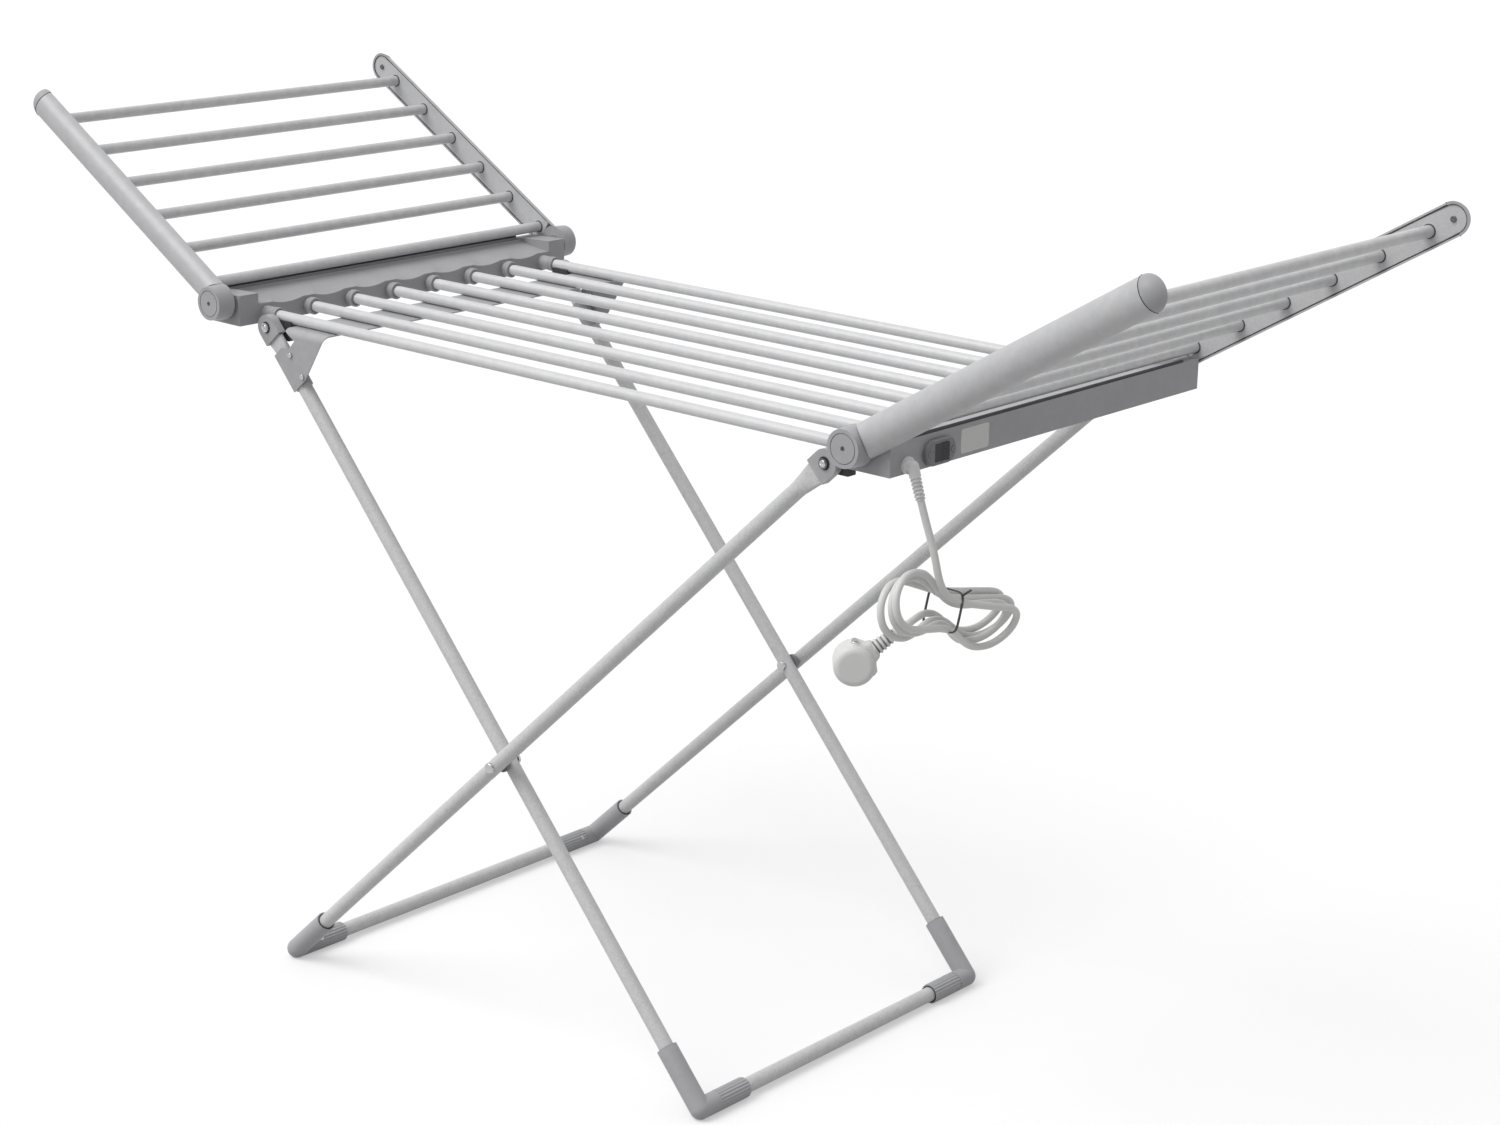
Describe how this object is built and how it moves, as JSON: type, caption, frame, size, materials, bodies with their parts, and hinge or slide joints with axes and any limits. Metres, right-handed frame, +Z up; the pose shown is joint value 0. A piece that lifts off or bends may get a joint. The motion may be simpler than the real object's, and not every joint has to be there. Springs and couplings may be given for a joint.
{
  "type": "folding heated clothes airer",
  "caption": "Free-standing folding clothes airer with heated bars between two end housings, raised wings that fold in, crossed leg frames, a rocker switch and a mains lead tied in a hank.",
  "frame": {"origin": "on the floor under the middle of the drying frame", "axes": "+Z up, +X along the bars to the end with the switch, +Y across to the side away from the switch's corner"},
  "size_m": [1.5102, 0.5441, 0.9387],
  "materials": {
    "rail_silver": "satin silver-grey paint",
    "leg_silver": "silver powder coat",
    "bar_aluminium": "satin aluminium tube",
    "grey_plastic": "fine-grained grey plastic",
    "dark_plastic": "fine-grained darker grey plastic",
    "black_plastic": "black plastic",
    "light_plastic": "light grey smooth plastic",
    "steel": "bright plated steel",
    "heating_wire": "silicone-covered heating wire"
  },
  "bodies": {
    "frame": {"cord_gland": "light_plastic", "cord_hank": "light_plastic", "cord_tie": "black_plastic", "housing_screws": "steel", "left_housing": "grey_plastic", "left_housing_cover": "grey_plastic", "leg_hinge_brackets": "black_plastic", "main_bars": "bar_aluminium", "main_heating_wires": "heating_wire", "mains_plug": "light_plastic", "power_cord": "light_plastic", "right_housing": "grey_plastic", "right_housing_cover": "grey_plastic", "switch_bezel": "grey_plastic", "switch_screws": "steel", "terminal_block": "light_plastic", "thermal_cutout": "steel", "wing_pivot_pins": "steel"},
    "rocker": {"switch_rocker": "black_plastic"},
    "left_wing": {"left_wing_bars": "bar_aluminium", "left_wing_heating_wires": "heating_wire", "left_wing_hubs": "grey_plastic", "left_wing_rail_far": "rail_silver", "left_wing_rail_near": "rail_silver", "left_wing_screws": "steel", "left_wing_strip_far": "dark_plastic", "left_wing_strip_near": "dark_plastic", "left_wing_tip_caps": "grey_plastic"},
    "right_wing": {"right_wing_bars": "bar_aluminium", "right_wing_heating_wires": "heating_wire", "right_wing_hubs": "grey_plastic", "right_wing_rail_far": "rail_silver", "right_wing_rail_near": "rail_silver", "right_wing_screws": "steel", "right_wing_strip_far": "dark_plastic", "right_wing_strip_near": "dark_plastic", "right_wing_tip_caps": "grey_plastic"},
    "outer_leg": {"crossing_rivets": "steel", "crossing_spacers": "grey_plastic", "leg_hinge_bolts": "steel", "outer_feet": "grey_plastic", "outer_floor_bar": "leg_silver", "outer_leg_caps": "grey_plastic", "outer_leg_far": "leg_silver", "outer_leg_near": "leg_silver"},
    "inner_leg": {"brace_rivets": "steel", "inner_feet": "grey_plastic", "inner_floor_bar": "leg_silver", "inner_leg_bolts": "steel", "inner_leg_caps": "grey_plastic", "inner_leg_far": "leg_silver", "inner_leg_near": "leg_silver", "latch_clips": "black_plastic", "latch_pins": "steel", "leg_brace": "grey_plastic"}
  },
  "joints": [
    {"name": "left_wing_hinge", "type": "hinge", "parent": "frame", "child": "left_wing", "pos_m": [-0.439, 0, 0.742], "axis": [0, 1, 0], "range_deg": [0, 147.5]},
    {"name": "right_wing_hinge", "type": "hinge", "parent": "frame", "child": "right_wing", "pos_m": [0.439, 0, 0.742], "axis": [0, -1, 0], "range_deg": [0, 147.5]},
    {"name": "outer_leg_swing", "type": "hinge", "parent": "frame", "child": "outer_leg", "pos_m": [0.3977, 0, 0.7166], "axis": [0, -1, 0], "range_deg": [0, 47]},
    {"name": "leg_cross_pivot", "type": "hinge", "parent": "outer_leg", "child": "inner_leg", "pos_m": [-0.03505, 0, 0.31332], "axis": [0, 1, 0], "range_deg": [0, 86.4]},
    {"name": "switch_rocker_tilt", "type": "hinge", "parent": "frame", "child": "rocker", "pos_m": [0.4775, -0.178, 0.73], "axis": [0, 0, 1], "range_deg": [0, 14]}
  ],
  "couplings": [
    {"joint": "leg_cross_pivot", "follows": "outer_leg_swing", "ratio": 1.838}
  ]
}
